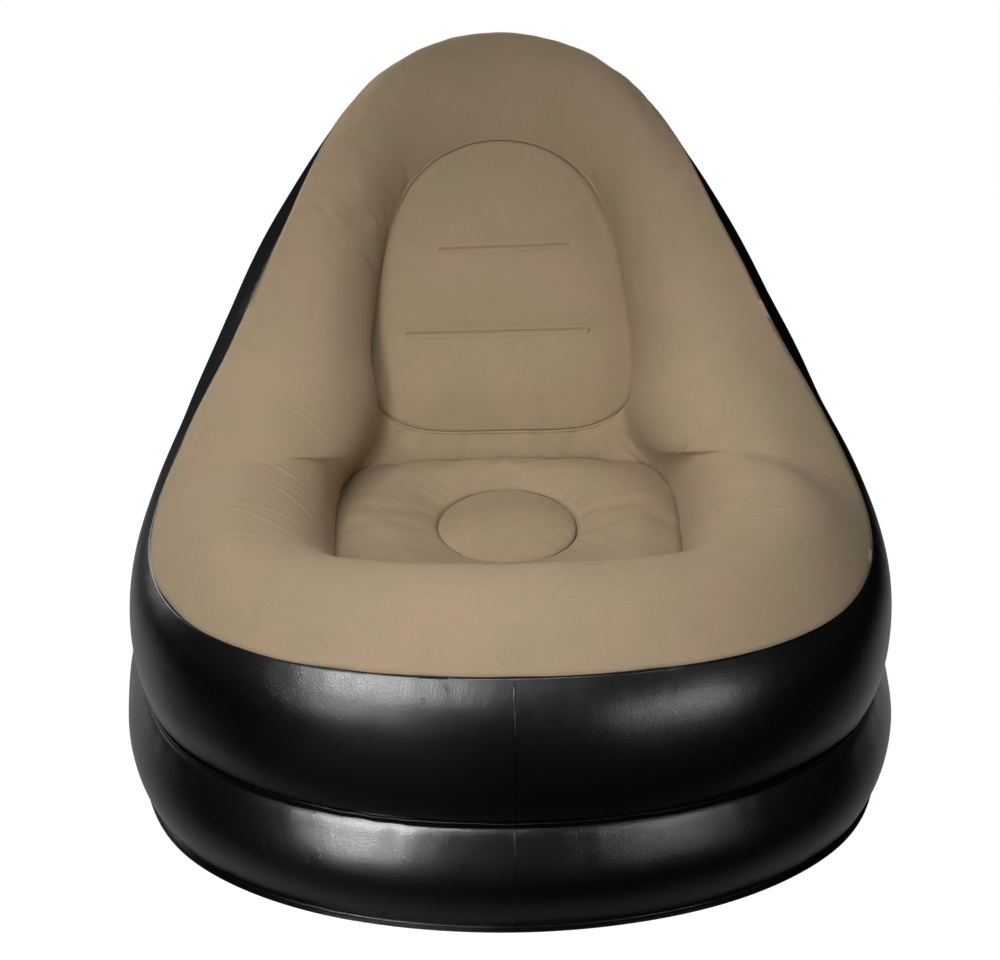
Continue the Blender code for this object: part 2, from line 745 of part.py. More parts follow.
def valve(model, cutters, name, rows, wall):
    """One valve at the middle of a band's rear, square to the sheet, and its hole in the sheet."""
    line, out = profile(rows, HALF_STATIONS)
    middle_row = (len(rows) - 1) // 2
    point = 2 * middle_row
    seat = axis(model, name + "_axis", line[point])
    seat.rotation_euler.x = atan2(-out[point][1], out[point][2])
    collar(model, name + "_collar", seat, steepness(rows, point))
    insert(model, cutters, name + "_insert", seat)
    cap(model, cutters, name + "_cap", seat)
    flap(model, name + "_flap", seat)
    valve_hole(cutters, wall, seat)


def valve_hole(cutters, thing, seat):
    bpy.ops.mesh.primitive_cylinder_add(vertices=TURN_STEPS, radius=COLLAR_RADIUS + GAP,
                                        depth=4 * THROAT_DEPTH)
    drill = bpy.context.object
    drill.name = thing.name + "_hole"
    as_cutter(drill, cutters)
    carried(drill, seat)
    cut(thing, drill)


def build():
    model, cutters = clear_scene()
    lower, upper = lower_rows(), upper_rows()
    flat_sheet(model, "base_sheet", base_line(), 0)
    middle_edge = crease_line() + LIP * outward(crease_line())
    flat_sheet(model, "mid_sheet", middle_edge, RING_HEIGHT - VINYL / 2)
    slit = front_slit(cutters, lower + upper)
    lower_band = band(model, "lower_band", lower, (1, 3))
    cut(lower_band, slit)
    seam = upper[-1]
    across, out = seam_frame(seam, upper[3], cover_rows()[1])
    root = seam - (GAP / 2) * across
    upper_band = band(model, "upper_band", upper[:-1] + [root, root - FIN * out], (1, 4))
    cut(upper_band, slit)
    bolster_cover(model)
    seat_panel(model)
    back_panel(model)

    seam_tape(model, "lower_seam_tape", lower[1:4])
    seam_tape(model, "upper_seam_tape", upper[1:], short=1)
    tie_band(model, "seat_frame_band", seat_loop(), SEAT_HEIGHT - VINYL, AIR_HOLES)
    tie_band(model, "seat_core_band", disc_loop(DISC_RADIUS, 0), SEAT_HEIGHT - DISC_SINK - FLOCK - GAP)
    back_strap(model, "back_strap_lower", 2, *rear_line(upper[1:], 3))
    back_strap(model, "back_strap_upper", 4, *rear_line(upper[1:], 4))
    for i in range(BEAMS):
        base_beam(model, f"base_beam_{i + 1}", (i - (BEAMS - 1) / 2) * BEAM_STEP)

    valve(model, cutters, "lower_valve", lower[1:4], lower_band)
    valve(model, cutters, "upper_valve", upper[1:], upper_band)


build()
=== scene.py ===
# %% [markdown]
# # An inflatable lounge chair
# The chair is two air rings of black vinyl, one on the other, with a flocked tan cover that rises
# from a low front bolster over the arms to a tall narrow back. Nothing in it is stiff: every shape
# is a flat sheet held round by air, so every piece here is a thin curved skin.

# %% Load the frame
import math

import bmesh
import bpy
import numpy as np
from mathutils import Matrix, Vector, noise
from mathutils.bvhtree import BVHTree
from mathutils.kdtree import KDTree


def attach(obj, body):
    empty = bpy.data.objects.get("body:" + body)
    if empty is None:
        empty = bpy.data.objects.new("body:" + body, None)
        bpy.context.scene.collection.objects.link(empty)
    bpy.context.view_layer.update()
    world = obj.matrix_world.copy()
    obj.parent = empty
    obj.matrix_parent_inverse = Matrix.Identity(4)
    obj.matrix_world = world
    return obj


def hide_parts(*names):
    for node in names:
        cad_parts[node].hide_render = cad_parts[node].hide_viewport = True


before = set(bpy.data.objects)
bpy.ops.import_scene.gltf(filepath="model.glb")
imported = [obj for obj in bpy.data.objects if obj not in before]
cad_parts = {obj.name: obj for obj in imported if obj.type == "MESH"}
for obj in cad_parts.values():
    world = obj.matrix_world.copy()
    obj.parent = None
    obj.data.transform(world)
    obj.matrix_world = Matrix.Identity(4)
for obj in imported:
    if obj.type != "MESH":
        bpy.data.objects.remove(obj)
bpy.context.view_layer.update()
print("the frame holds", len(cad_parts), "nodes")

# %% [markdown]
# ## The camera
# It stands three metres away, a little above eye height, and looks down at the seat through a long
# lens, so the chair shows little perspective. It comes first, because the folds and the small
# welds are placed by the pixel where the photograph shows them.

# %% Place the camera
PHOTO_SIZE = (1000, 960)
FOCAL_PIXELS = 2358
CAMERA_DISTANCE = 3.0
CAMERA_HEIGHT_ANGLE = math.radians(31)
CAMERA_SIDE_ANGLE = math.radians(-1.87)
LOOK_AT = Vector((-0.0094, -0.073, 0.33))
SENSOR = 36

towards = Vector((math.sin(CAMERA_SIDE_ANGLE) * math.cos(CAMERA_HEIGHT_ANGLE),
                  -math.cos(CAMERA_SIDE_ANGLE) * math.cos(CAMERA_HEIGHT_ANGLE),
                  math.sin(CAMERA_HEIGHT_ANGLE)))
camera_data = bpy.data.cameras.new("photo_camera")
camera_data.sensor_fit = "HORIZONTAL"
camera_data.sensor_width = SENSOR
camera_data.lens = SENSOR * FOCAL_PIXELS / PHOTO_SIZE[0]
camera = bpy.data.objects.new("photo_camera", camera_data)
camera.location = LOOK_AT + CAMERA_DISTANCE * towards
camera.rotation_euler = (-towards).to_track_quat("-Z", "Y").to_euler()
bpy.context.scene.collection.objects.link(camera)
bpy.context.scene.camera = camera
print("lens", round(camera_data.lens, 1), "mm")


# %% A ray through a pixel
def photo_ray(x, y):
    """Where a pixel of the photograph looks from, and in which direction."""
    aim = Vector((x - PHOTO_SIZE[0] / 2, PHOTO_SIZE[1] / 2 - y, -FOCAL_PIXELS))
    turn = camera.rotation_euler.to_matrix()
    return camera.location, (turn @ aim).normalized()


# %% [markdown]
# ## Lines that the sheets follow
# A sheet is cut along a few lines: the floor outline, the crease between the rings, the seam of
# the cover and the outlines of the two panels. They could be traced as curves by hand. Here each
# is a table for one side of the chair, as shares of its sizes, and the other side mirrors it, so
# the whole chair stays even and follows when one size changes.

# %% Sizes
WIDTH = 0.98
DEPTH = 1.12
RING_HEIGHT = 0.150
SEAT_HEIGHT = 0.268
BACK_STEP = 0.048
BOLSTER_RISE = 0.088
BACK_LENGTH = 0.378
BACK_TILT = math.radians(65)
CROWN_RISE = 0.141
BACK_FOOT_Z = SEAT_HEIGHT + BACK_STEP
HEIGHT = BACK_FOOT_Z + BACK_LENGTH * math.sin(BACK_TILT) + CROWN_RISE
VINYL = 0.0005
FLOCK = 0.0008
GAP = 0.0003
STRIP = 0.0005
LIP = 0.008
FIN = 0.007
CREASE_INSET = 0.018
LOWER_SWELL = 0.027
FRONT_SWELL = 0.025
SIDE_SWELL = 0.015
REAR_SWELL = 0.060
SPREAD_SHARE = 0.27
SEAT_WIDTH = 0.446
SEAT_DEPTH = 0.345
SEAT_Y = -0.093
REAR_EDGE_SHARE = 0.475
BACK_WIDTH = 0.368
BACK_FOOT_Y = 0.087
FOOT_SAG_SHARE = 0.012
UP = np.array((0, 0, 1))
BACK_NORMAL = np.array((0, -math.sin(BACK_TILT), math.cos(BACK_TILT)))
print("height of the crown's line", round(HEIGHT, 3), "m")

# %% Tables of the lines
STATIONS = 32
COLUMNS = 6
SEAT_CORNER = 5
BACK_CORNER = 7
BASE_SHARES = (
    (0, -0.4935), (0.286, -0.4815), (0.575, -0.4405), (0.826, -0.357), (0.942, -0.246),
    (0.974, -0.140), (0.980, -0.045), (0.968, 0.035), (0.940, 0.107), (0.899, 0.178),
    (0.850, 0.246), (0.787, 0.309), (0.708, 0.366), (0.606, 0.416), (0.457, 0.4575),
    (0.243, 0.4815), (0, 0.4875))
COVER_SHARES = (
    (0, -0.449, 0.415), (0.295, -0.441, 0.416), (0.565, -0.411, 0.417), (0.780, -0.344, 0.420),
    (0.880, -0.248, 0.432), (0.870, -0.167, 0.476), (0.797, -0.096, 0.552), (0.707, -0.028, 0.628),
    (0.632, 0.033, 0.701), (0.570, 0.081, 0.760), (0.527, 0.117, 0.802), (0.488, 0.150, 0.838),
    (0.440, 0.184, 0.874), (0.372, 0.218, 0.909), (0.280, 0.246, 0.936), (0.155, 0.267, 0.951),
    (0, 0.276, 0.956))
RISE_SHARES = (1, 1, 1, 1.08, 1.25, 1.38, 1.25, 0.95, 0.72, 0.56, 0.48, 0.44, 0.42, 0.42, 0.44,
               0.46, 0.46)
LEAN_SHARES = (0, 0, 0, 0, 0.1, 0.3, 0.35, 0.2, 0.1, 0.08, 0.12, 0.2, 0.28, 0.40, 0.53,
               0.60, 0.62)
SEAT_SHARES = ((0, -0.5), (0.34, -0.5), (0.70, -0.49), (0.98, -0.42), (0.99, -0.03), (1.02, 0.40))
BACK_SHARES = (
    (0.90, 0.050), (0.985, 0.155), (0.95, 0.335), (0.898, 0.475), (0.842, 0.614), (0.765, 0.745),
    (0.640, 0.860), (0.455, 0.942), (0.240, 0.990), (0, 1.006))


# %% Closed lines from half tables
def ring(half):
    """The whole closed line from the points of one side."""
    half = np.array(half)
    return np.vstack((half, half[-2:0:-1] * (-1, 1, 1)))


def round_share(shares):
    half = np.array(shares)
    return np.concatenate((half, half[-2:0:-1]))[:, None]


def unit(vectors):
    return vectors / np.linalg.norm(vectors, axis=-1, keepdims=True)


def through(points):
    """Cage points whose rounded line passes through the given points."""
    own = np.eye(len(points))
    blend = (4 * own + np.roll(own, 1, 0) + np.roll(own, -1, 0)) / 6
    return np.linalg.solve(blend, points)


def rounded(points):
    """Where the rounded line passes, beside each cage point."""
    return (np.roll(points, 1, 0) + 4 * points + np.roll(points, -1, 0)) / 6


def outward(points):
    """Level directions that point away from the chair's middle."""
    return unit(np.cross(np.roll(points, -1, 0) - np.roll(points, 1, 0), UP))


def inward(loop, normal):
    return unit(np.cross(normal, np.roll(loop, -1, 0) - np.roll(loop, 1, 0)))


def swell_rows(low, high, belly):
    """Two cage rows between two seams, so that the sheet passes through the belly halfway."""
    middle = (48 * belly - low - high) / 46
    spread = SPREAD_SHARE * (high - low)
    return middle - spread, middle + spread


LINE_PARTS = 64


def dense(points, parts=LINE_PARTS):
    """Many points on the rounded closed line of some cage points, by a cubic spline."""
    before, after, later = np.roll(points, 1, 0), np.roll(points, -1, 0), np.roll(points, -2, 0)
    steps = []
    for t in np.arange(parts) / parts:
        steps.append(((1 - t) ** 3 * before + (3 * t ** 3 - 6 * t ** 2 + 4) * points
                      + (-3 * t ** 3 + 3 * t ** 2 + 3 * t + 1) * after + t ** 3 * later) / 6)
    return np.stack(steps, axis=1).reshape(-1, 3)


# %% The chair's own lines
def base_line():
    return through(ring([(x * WIDTH / 2, y * DEPTH, 0) for x, y in BASE_SHARES]))


def crease_line():
    return base_line() - CREASE_INSET * outward(base_line()) + RING_HEIGHT * UP


def cover_seam():
    return through(ring([(x * WIDTH / 2, y * DEPTH, z * HEIGHT) for x, y, z in COVER_SHARES]))


def seat_loop():
    side = [(x * SEAT_WIDTH / 2, SEAT_Y + y * SEAT_DEPTH, SEAT_HEIGHT) for x, y in SEAT_SHARES]
    rear_y = SEAT_Y + REAR_EDGE_SHARE * SEAT_DEPTH
    rear = [(side[-1][0] * (1 - 2 * i / COLUMNS), rear_y, SEAT_HEIGHT) for i in range(1, COLUMNS)]
    return np.array(side + rear + [(-x, y, z) for x, y, z in side[:0:-1]])


def on_back(across, along, lift=0):
    run = along * math.cos(BACK_TILT) - lift * math.sin(BACK_TILT)
    rise = along * math.sin(BACK_TILT) + lift * math.cos(BACK_TILT)
    return across, BACK_FOOT_Y + run, BACK_FOOT_Z + rise


def back_loop():
    side = [on_back(x * BACK_WIDTH / 2, y * BACK_LENGTH) for x, y in BACK_SHARES]
    sag = -FOOT_SAG_SHARE * BACK_LENGTH
    foot = [on_back(side[0][0] * (2 * i / COLUMNS - 1), sag) for i in range(1, COLUMNS)]
    return np.array(foot + side + [(-x, y, z) for x, y, z in side[-2::-1]])


# %% [markdown]
# ## From a cage to a skin
# Such a skin could be sculpted, but a cage of a few rows of points is enough and stays easy to
# change: Subdivision Surface rounds it, and a crease value keeps a row sharp where two sheets are
# welded. Air then swells the skin in a short cloth simulation, fine folds are pressed in, and
# Solidify gives the sheet its thickness last.

# %% Cages
def add_grid(bm, rows, wrap):
    """Faces between rows of points; a point may be one that the mesh already has."""
    made = [[p if isinstance(p, bmesh.types.BMVert) else bm.verts.new(p) for p in row]
            for row in rows]
    for low, high in zip(made, made[1:]):
        for i in range(len(low) if wrap else len(low) - 1):
            j = (i + 1) % len(low)
            bm.faces.new((low[i], low[j], high[j], high[i]))
    return made


def crease(bm, verts, wrap=True):
    layer = bm.edges.layers.float.get("crease_edge") or bm.edges.layers.float.new("crease_edge")
    pairs = list(zip(verts, verts[1:])) + ([(verts[-1], verts[0])] if wrap else [])
    for pair in pairs:
        bm.edges.get(pair)[layer] = 1


# %% Modifiers
def apply_modifiers(piece):
    bpy.ops.object.select_all(action="DESELECT")
    piece.select_set(True)
    bpy.context.view_layer.objects.active = piece
    for modifier in list(piece.modifiers):
        bpy.ops.object.modifier_apply(modifier=modifier.name)


def round_off(piece, levels):
    rounding = piece.modifiers.new("Rounding", "SUBSURF")
    rounding.levels = levels
    rounding.render_levels = levels
    apply_modifiers(piece)


def skin(name, bm, levels):
    """A smooth skin from a cage, still without thickness."""
    mesh = bpy.data.meshes.new(name)
    bm.to_mesh(mesh)
    bm.free()
    piece = bpy.data.objects.new(name, mesh)
    bpy.context.scene.collection.objects.link(piece)
    round_off(piece, levels)
    piece.data.shade_smooth()
    return piece


def thicken(piece, thickness, offset=-1):
    body = piece.modifiers.new("Thickness", "SOLIDIFY")
    body.thickness = thickness
    body.offset = offset
    apply_modifiers(piece)
    print(piece.name, "has", len(piece.data.polygons), "faces")


# %% Points and normals of a skin
def read(piece):
    count = len(piece.data.vertices)
    places = np.empty(count * 3)
    normals = np.empty(count * 3)
    piece.data.vertices.foreach_get("co", places)
    piece.data.vertex_normals.foreach_get("vector", normals)
    return places.reshape(-1, 3), normals.reshape(-1, 3)


def write(piece, places):
    piece.data.vertices.foreach_set("co", places.ravel())
    piece.data.update()


def near(line, places, reach):
    """The points within reach of a line, their distances and the line's points nearest to them."""
    low, high = line.min(axis=0) - reach, line.max(axis=0) + reach
    inside = np.nonzero(np.all((places > low) & (places < high), axis=1))[0]
    tree = KDTree(len(line))
    for i, point in enumerate(line):
        tree.insert(point, i)
    tree.balance()
    found = [tree.find(places[i])[1:] for i in inside]
    distance = np.array([item[1] for item in found])
    nearest = np.array([item[0] for item in found], int)
    keep = distance < reach
    return inside[keep], distance[keep], nearest[keep]


def run_along(line):
    """How far each point of a line lies from its start, and last the whole length."""
    return np.concatenate(([0], np.cumsum(np.linalg.norm(np.diff(line, axis=0), axis=1))))


def wander(share, count, far, seed):
    """A smooth random value that closes on itself after one round of the line."""
    turn = 2 * math.pi * share
    size = count / (2 * math.pi)
    return noise.noise(Vector((size * math.cos(turn), size * math.sin(turn), far + 7 * seed)))


# %% [markdown]
# ## Air
# Each soft sheet is let loose between its welds for a few frames, with a light pressure from
# inside and a little more cloth than it needs. The spare cloth settles into the slight, uneven
# swelling that a true inflated skin has. How far a point may move is capped, so the piece keeps
# its measured shape.

# %% Swelling by simulation
AIR_PRESSURE = 4
SPARE_CLOTH = 0.012
SIM_FRAMES = 20
PIN_REACH = 0.006


def swell(piece, welds, cap):
    """Swells a skin between its welds by cloth simulation, no point further than the cap."""
    before, _ = read(piece)
    held = piece.vertex_groups.new(name="welds")
    for weld in welds:
        pinned = near(weld, before, PIN_REACH)[0]
        held.add([int(i) for i in pinned], 1, "REPLACE")
    cloth = piece.modifiers.new("Air", "CLOTH")
    cloth.settings.vertex_group_mass = held.name
    cloth.settings.use_pressure = True
    cloth.settings.uniform_pressure_force = AIR_PRESSURE
    cloth.settings.effector_weights.gravity = 0
    cloth.settings.shrink_min = -SPARE_CLOTH
    cloth.settings.bending_stiffness = 0.2
    for frame_number in range(1, SIM_FRAMES + 1):
        bpy.context.scene.frame_set(frame_number)
    apply_modifiers(piece)
    after, _ = read(piece)
    move = after - before
    length = np.linalg.norm(move, axis=1, keepdims=True)
    move *= np.minimum(1, cap / np.maximum(length, 1e-9))
    write(piece, before + move)
    piece.vertex_groups.clear()
    bpy.context.scene.frame_set(1)
    most = round(1000 * float(length.max()), 1)
    print(piece.name, "swelled by up to", most, "mm, capped at", 1000 * cap)


# %% [markdown]
# ## Puckers and folds
# Where a curved sheet is welded to a straight one it has cloth to spare, which gathers into fine
# ripples square to the weld. A fold is longer: it runs where one bulge leans on the next. Fine
# folds need more points than a calm surface, so the faces under them are split first.

# %% Finer faces under the folds
def refine(piece, lines, reach):
    """Splits the faces near some lines into four."""
    places, _ = read(piece)
    close = np.zeros(len(places), bool)
    for line in lines:
        close[near(line, places, reach)[0]] = True
    bm = bmesh.new()
    bm.from_mesh(piece.data)
    edges = {edge for face in bm.faces if any(close[v.index] for v in face.verts)
             for edge in face.edges}
    bmesh.ops.subdivide_edges(bm, edges=list(edges), cuts=1, smooth=1, use_grid_fill=True)
    bm.to_mesh(piece.data)
    bm.free()
    piece.data.shade_smooth()


# %% Rolls, puckers and ridges
def roll(places, normals, line, height, reach):
    """Rounds a skin over beside a weld, so that the weld lies in a narrow groove."""
    index, distance, _ = near(line, places, 7 * reach)
    share = distance / reach
    places[index] += normals[index] * (height * share * np.exp(1 - share))[:, None]


def bead(places, normals, line, height, width, off=0):
    """A narrow ridge along a line, or a groove where the height is negative."""
    index, distance, _ = near(line, places, off + 3 * width)
    places[index] += normals[index] * (height * np.exp(-((distance - off) / width) ** 2))[:, None]


def pucker(places, normals, line, wave, height, reach, seed):
    """Ripples square to a weld, strongest a little away from it."""
    index, distance, nearest = near(line, places, 6 * reach)
    run = run_along(line)
    share = distance / reach
    ripple = []
    for far, here in zip(distance, run[nearest] / run[-1]):
        strong = 0.5 + 0.5 * wander(here, run[-1] / (9 * wave), 0, seed)
        ripple.append(strong * wander(here, run[-1] / wave, far / (4 * wave), seed))
    push = 2 * height * share * np.exp(1 - share) * np.array(ripple)
    places[index] += normals[index] * push[:, None]


def fold(places, normals, line, height, width):
    """A fine ridge with a shallow valley beside it, fading out at both ends."""
    index, distance, nearest = near(line, places, 5 * width)
    run = run_along(line)
    fade = np.abs(np.sin(np.pi * run[nearest] / run[-1])) ** 0.5
    ridge = np.exp(-(distance / width) ** 2)
    valley = np.exp(-((distance - 2.1 * width) / width) ** 2)
    places[index] += normals[index] * (height * fade * (ridge - 0.45 * valley))[:, None]


def ease(places, normals, size, height, seed):
    """A slow unevenness all over, as air leaves in any skin."""
    push = [height * noise.noise(Vector(place) / size + Vector((seed, 0, 0))) for place in places]
    places += normals * np.array(push)[:, None]


# %% Lines placed by the photograph
def surface(piece):
    mesh = piece.data
    return BVHTree.FromPolygons([v.co for v in mesh.vertices], [p.vertices for p in mesh.polygons])


def pixel_line(tree, pixels, steps=160):
    """Points on a surface under a rounded line of pixels."""
    pixels = np.array(pixels, float)
    ends = np.vstack((2 * pixels[0] - pixels[1], pixels, 2 * pixels[-1] - pixels[-2]))
    line = []
    for a, b, c, d in zip(ends, ends[1:], ends[2:], ends[3:]):
        for t in np.arange(steps) / steps:
            spot = (2 * b + (c - a) * t + (2 * a - 5 * b + 4 * c - d) * t ** 2
                    + (3 * b - a - 3 * c + d) * t ** 3) / 2
            hit = tree.ray_cast(*photo_ray(*spot))[0]
            if hit:
                line.append(hit)
    return np.array(line)


# %% [markdown]
# ## The black walls
# Each ring's wall is one band of vinyl, closed by an upright weld at the front. It swells between
# its upper and lower weld and ends in a thin flat lip at each. A cage of five rows gives that
# shape: lip, weld, two rows of belly, weld and lip. The lips wander a little, as cut edges do.

# %% Cage rows of the walls
def lower_rows():
    base, top = base_line(), crease_line()
    out = outward(base)
    foot = base + (VINYL + GAP + VINYL) * UP
    top = top - (VINYL / 2 + GAP + VINYL) * UP
    foot_root = foot - LIP * out
    belly = (foot_root + top) / 2 + LOWER_SWELL * out
    middle = (6 * belly - foot_root - top) / 4
    return [foot, foot_root, middle, top, top + LIP * out]


def upper_rows():
    root = crease_line() + (VINYL / 2 + GAP + VINYL) * UP
    out = outward(root)
    seam = cover_seam()
    turn = np.arange(STATIONS) * 2 * np.pi / STATIONS
    front = np.maximum(np.cos(turn), 0) ** 3
    rear = (1 - np.cos(turn)) / 2
    swell_out = SIDE_SWELL + (FRONT_SWELL - SIDE_SWELL) * front + (REAR_SWELL - SIDE_SWELL) * rear
    belly = (root + seam) / 2 + swell_out[:, None] * out
    first, second = swell_rows(root, seam, belly)
    return [root + LIP * out, root, first, second, seam]


# %% Cage rows of the cover
def inner_edge():
    seat = seat_loop() - (STRIP / 2 + GAP) * inward(seat_loop(), UP)
    back = back_loop() - GAP * inward(back_loop(), BACK_NORMAL)
    right = list(seat[:SEAT_CORNER + 1])
    back_right = list(back[COLUMNS - 1:COLUMNS - 1 + len(BACK_SHARES)])
    return ring(right + [(right[-1] + back_right[0]) / 2] + back_right)


def cover_rows():
    seam = cover_seam()
    edge = inner_edge()
    middle = (rounded(seam) + edge) / 2
    lean = unit(rounded(seam) - edge)
    rise = unit(np.cross(lean, np.roll(middle, -1, 0) - np.roll(middle, 1, 0)))
    reach = round_share(RISE_SHARES) * rise + round_share(LEAN_SHARES) * lean
    ridge = middle + BOLSTER_RISE * reach
    first, second = swell_rows(seam, edge, through(ridge))
    return [seam, first, second, edge]


def seam_frame(seam, before, after):
    along = unit(np.roll(seam, -1, 0) - np.roll(seam, 1, 0))
    across = unit(after - seam) - unit(before - seam)
    across -= along * np.sum(along * across, axis=1, keepdims=True)
    across = unit(across)
    return across, np.cross(along, across)


# %% Wavy lips
WAVE = 0.022
LIP_WAVE = 0.0016
CREASE_SEED = 3
SEAM_SEED = 5


def wave_lip(places, tip, directions, seed):
    """Lets a free lip wander a little to one side and the other, while its root stays."""
    line = dense(tip)
    index, distance, nearest = near(line, places, LIP)
    run = run_along(line)
    for i, far, spot in zip(index, distance, nearest):
        side = wander(run[spot] / run[-1], run[-1] / WAVE, 0, seed)
        places[i] += directions[spot] * LIP_WAVE * (1 - far / LIP) * side


def band(name, rows, folds, levels=4):
    bm = bmesh.new()
    made = add_grid(bm, rows, wrap=True)
    for row in folds:
        crease(bm, made[row])
    return skin(name, bm, levels)


# %% The lower wall
lower = lower_rows()
lower_wall = band("lower_wall", lower, (1, 3))
places, normals = read(lower_wall)
roll(places, normals, dense(lower[3]), 0.003, 0.011)
pucker(places, normals, dense(lower[1]), 0.016, 0.0005, 0.012, 1)
pucker(places, normals, dense(lower[3]), 0.016, 0.0007, 0.014, 2)
ease(places, normals, 0.09, 0.0012, 3)
upward = np.tile(UP, (LINE_PARTS * STATIONS, 1))
wave_lip(places, lower[4], upward, CREASE_SEED)
write(lower_wall, places)

# %% The upper wall
upper = upper_rows()
across, out = seam_frame(upper[-1], upper[3], cover_rows()[1])
seam_root = upper[-1] - (GAP / 2) * across
upper_wall = band("upper_wall", upper[:-1] + [seam_root, seam_root - FIN * out], (1, 4))
places, normals = read(upper_wall)
roll(places, normals, dense(upper[1]), 0.003, 0.011)
pucker(places, normals, dense(upper[1]), 0.016, 0.0007, 0.014, 4)
pucker(places, normals, dense(seam_root), 0.014, 0.0006, 0.012, 5)
ease(places, normals, 0.10, 0.0015, 6)
wave_lip(places, upper[0], upward, CREASE_SEED)
wave_lip(places, seam_root - FIN * out, dense(across), SEAM_SEED)
write(upper_wall, places)


# %% [markdown]
# ## The upright welds
# Each wall is one long strip whose ends are welded together at the front. The weld shows as a
# thin shiny bead that stands a little proud, so it is drawn as a curve on the wall with a round
# bevel, as a maker would lay a bead.

# %% Beads on the walls
BEAD_RADIUS = 0.0016
BEAD_X = -0.0080
BEAD_STEPS = 48
BEAD_END = 0.006
BEAD_TOP = COVER_SHARES[0][2] * HEIGHT - 0.004


def upright_bead(name, wall, low, high):
    tree = surface(wall)
    spots = []
    for z in np.linspace(low, high, BEAD_STEPS):
        hit = tree.ray_cast(Vector((BEAD_X, -2, z)), Vector((0, 1, 0)))[0]
        if hit:
            spots.append(hit)
    line = bpy.data.curves.new(name, "CURVE")
    line.dimensions = "3D"
    line.bevel_depth = BEAD_RADIUS
    line.bevel_resolution = 3
    line.use_fill_caps = True
    spline = line.splines.new("POLY")
    spline.points.add(len(spots) - 1)
    for point, spot in zip(spline.points, spots):
        point.co = (*spot, 1)
    spline.points[0].radius = 0.3
    spline.points[-1].radius = 0.3
    curve = bpy.data.objects.new(name, line)
    bpy.context.scene.collection.objects.link(curve)
    bpy.ops.object.select_all(action="DESELECT")
    curve.select_set(True)
    bpy.context.view_layer.objects.active = curve
    bpy.ops.object.convert(target="MESH")
    bm = bmesh.new()
    bm.from_mesh(curve.data)
    bmesh.ops.remove_doubles(bm, verts=bm.verts, dist=1e-6)
    bmesh.ops.recalc_face_normals(bm, faces=bm.faces)
    bm.to_mesh(curve.data)
    bm.free()
    curve.data.shade_smooth()
    return curve


lower_bead = upright_bead("lower_front_weld", lower_wall, BEAD_END, RING_HEIGHT - BEAD_END)
upper_bead = upright_bead("upper_front_weld", upper_wall, RING_HEIGHT + BEAD_END, BEAD_TOP)
thicken(lower_wall, VINYL)
thicken(upper_wall, VINYL)


# %% [markdown]
# ## The tan cover
# One flocked skin makes the front bolster, both arms, the rim of the back and the step behind the
# seat. Its cage is a ring with a small patch across the step, so that one skin runs through all
# of them without a seam, as the real one does.

# %% The bolster's cage
def step_rows():
    seat = seat_loop() - (STRIP / 2 + GAP) * inward(seat_loop(), UP)
    back = back_loop() - GAP * inward(back_loop(), BACK_NORMAL)
    rear = list(seat[SEAT_CORNER + 1:SEAT_CORNER + COLUMNS][::-1])
    foot = list(back[:COLUMNS - 1])
    return rear, [(a + b) / 2 for a, b in zip(rear, foot)], foot


seam, first, second, edge = cover_rows()
root = seam + (GAP / 2) * across
tip = root - FIN * out
bm = bmesh.new()
made = add_grid(bm, [tip, root, first, second, edge], wrap=True)
crease(bm, made[1])
inner = made[-1]
rows = []
for station, between in zip(range(SEAT_CORNER, BACK_CORNER + 1), step_rows()):
    rows.append([inner[-station]] + between + [inner[station]])
add_grid(bm, rows, wrap=False)
bolster = skin("bolster", bm, 3)
print("the bolster starts with", len(bolster.data.vertices), "points")

# %% Air in the bolster
seat_seam = dense(seat_loop())
back_seam = dense(back_loop())
swell(bolster, [dense(root), dense(tip), seat_seam, back_seam], 0.0025)
round_off(bolster, 1)

# %% Where the folds run, how high and how wide they are
FOLDS = (
    ([(256, 404), (287, 407), (307, 418), (323, 432), (336, 445)], 0.0013, 0.0022),
    ([(268, 400), (295, 403), (315, 413), (330, 427)], 0.0007, 0.0018),
    ([(226, 452), (253, 456), (270, 462), (287, 472), (304, 484)], 0.0012, 0.0021),
    ([(243, 451), (264, 455), (282, 464)], 0.0006, 0.0018),
    ([(262, 480), (288, 494), (310, 515), (324, 536)], 0.0008, 0.0024),
    ([(282, 480), (302, 496), (318, 516), (328, 534)], 0.0007, 0.0022),
    ([(215, 500), (252, 503), (288, 517), (318, 541)], 0.0006, 0.0024),
    ([(180, 516), (225, 506), (268, 520), (312, 546)], 0.0006, 0.0026),
    ([(170, 545), (215, 533), (262, 535), (306, 552)], 0.0005, 0.0026),
    ([(672, 462), (683, 448), (700, 433), (720, 423), (740, 416), (767, 417)], 0.0013, 0.0022),
    ([(690, 452), (704, 440), (722, 430), (745, 425)], 0.0006, 0.0018),
    ([(702, 397), (722, 392), (745, 388)], 0.0006, 0.0018),
    ([(706, 404), (730, 398), (755, 397)], 0.0005, 0.0018),
    ([(683, 533), (700, 522), (720, 508), (740, 502), (773, 507), (803, 508)], 0.0008, 0.0024),
    ([(687, 521), (707, 508), (726, 498), (750, 494)], 0.0007, 0.0022),
    ([(690, 540), (716, 528), (750, 518), (790, 521)], 0.0005, 0.0026),
    ([(806, 474), (825, 478), (844, 486)], 0.0005, 0.0022),
    ([(700, 338), (710, 339), (720, 338)], 0.0008, 0.0018),
)

